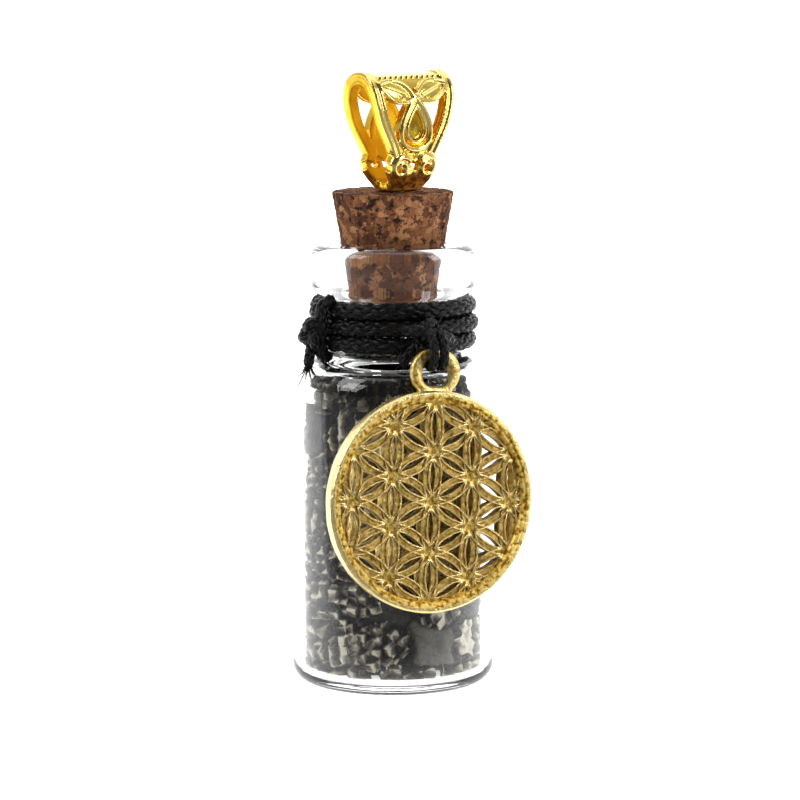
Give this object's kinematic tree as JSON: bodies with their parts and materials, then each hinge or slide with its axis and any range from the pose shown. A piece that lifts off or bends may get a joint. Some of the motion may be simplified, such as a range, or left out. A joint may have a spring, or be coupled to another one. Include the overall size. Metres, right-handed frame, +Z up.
{
  "type": "corked vial pendant",
  "caption": "Small corked glass vial filled with pyrite chips, with a cord round its neck, a hanging openwork disc charm and a filigree bail on the cork.",
  "frame": {"origin": "centre of the vial's underside, on the surface it stands on", "axes": "+Z up along the vial's axis; -Y is the front; the charm hangs at the front, towards +X"},
  "size_m": [0.0212, 0.0239, 0.0542],
  "materials": {
    "clear_glass": "gloss",
    "cork": "matt agglomerated cork",
    "gold_plate": "polished",
    "antique_gold_plate": "soft satin with a worn polish",
    "waxed_cord": "waxed braid",
    "pyrite": "metallic, broken"
  },
  "bodies": {
    "vial": {"glass_vial": "clear_glass", "neck_cord": "waxed_cord", "neck_cord_knot": "waxed_cord", "neck_cord_tail": "waxed_cord", "charm_cord_knot": "waxed_cord", "pyrite_chip_01": "pyrite", "pyrite_chip_02": "pyrite", "pyrite_chip_03": "pyrite", "pyrite_chip_04": "pyrite", "pyrite_chip_05": "pyrite", "pyrite_chip_06": "pyrite", "pyrite_chip_07": "pyrite", "pyrite_chip_08": "pyrite", "pyrite_chip_09": "pyrite", "pyrite_chip_10": "pyrite", "pyrite_chip_11": "pyrite", "pyrite_chip_12": "pyrite", "pyrite_chip_13": "pyrite", "pyrite_chip_14": "pyrite", "pyrite_chip_15": "pyrite", "pyrite_chip_16": "pyrite", "pyrite_chip_17": "pyrite", "pyrite_chip_18": "pyrite", "pyrite_chip_19": "pyrite", "pyrite_chip_20": "pyrite", "pyrite_chip_21": "pyrite", "pyrite_chip_22": "pyrite", "pyrite_chip_23": "pyrite", "pyrite_chip_24": "pyrite", "pyrite_chip_25": "pyrite", "pyrite_chip_26": "pyrite", "pyrite_chip_27": "pyrite", "pyrite_chip_28": "pyrite", "pyrite_chip_29": "pyrite", "pyrite_chip_30": "pyrite", "pyrite_chip_31": "pyrite", "pyrite_chip_32": "pyrite", "pyrite_chip_33": "pyrite", "pyrite_chip_34": "pyrite", "pyrite_chip_35": "pyrite", "pyrite_chip_36": "pyrite", "pyrite_chip_37": "pyrite", "pyrite_chip_38": "pyrite", "pyrite_chip_39": "pyrite", "pyrite_chip_40": "pyrite", "pyrite_chip_41": "pyrite", "pyrite_chip_42": "pyrite", "pyrite_core_chips": "pyrite", "pyrite_crumbs": "pyrite", "pyrite_small_chips_lower": "pyrite", "pyrite_small_chips_middle": "pyrite", "pyrite_small_chips_upper": "pyrite"},
    "cork": {"cork_stopper": "cork"},
    "bail": {"filigree_bail": "gold_plate", "bail_peg": "gold_plate"},
    "charm_loop": {"charm_cord_loop": "waxed_cord"},
    "charm": {"charm_disc": "antique_gold_plate"}
  },
  "joints": [
    {"name": "cork_pull", "type": "slide", "parent": "vial", "child": "cork", "axis": [0, 0, 1], "range_m": [0, 0.012]},
    {"name": "bail_turn", "type": "hinge", "parent": "cork", "child": "bail", "pos_m": [0.0005, 0, 0.04365], "axis": [0, 0, 1], "continuous": true},
    {"name": "charm_swing", "type": "hinge", "parent": "vial", "child": "charm_loop", "pos_m": [0.00317, -0.00795, 0.03157], "axis": [-0.9288, -0.3707, 0], "range_deg": [0, 75]},
    {"name": "charm_rock", "type": "hinge", "parent": "charm_loop", "child": "charm", "pos_m": [0.00362, -0.00907, 0.02928], "axis": [0.4216, -0.9041, 0.0698], "range_deg": [-35, 35]}
  ]
}
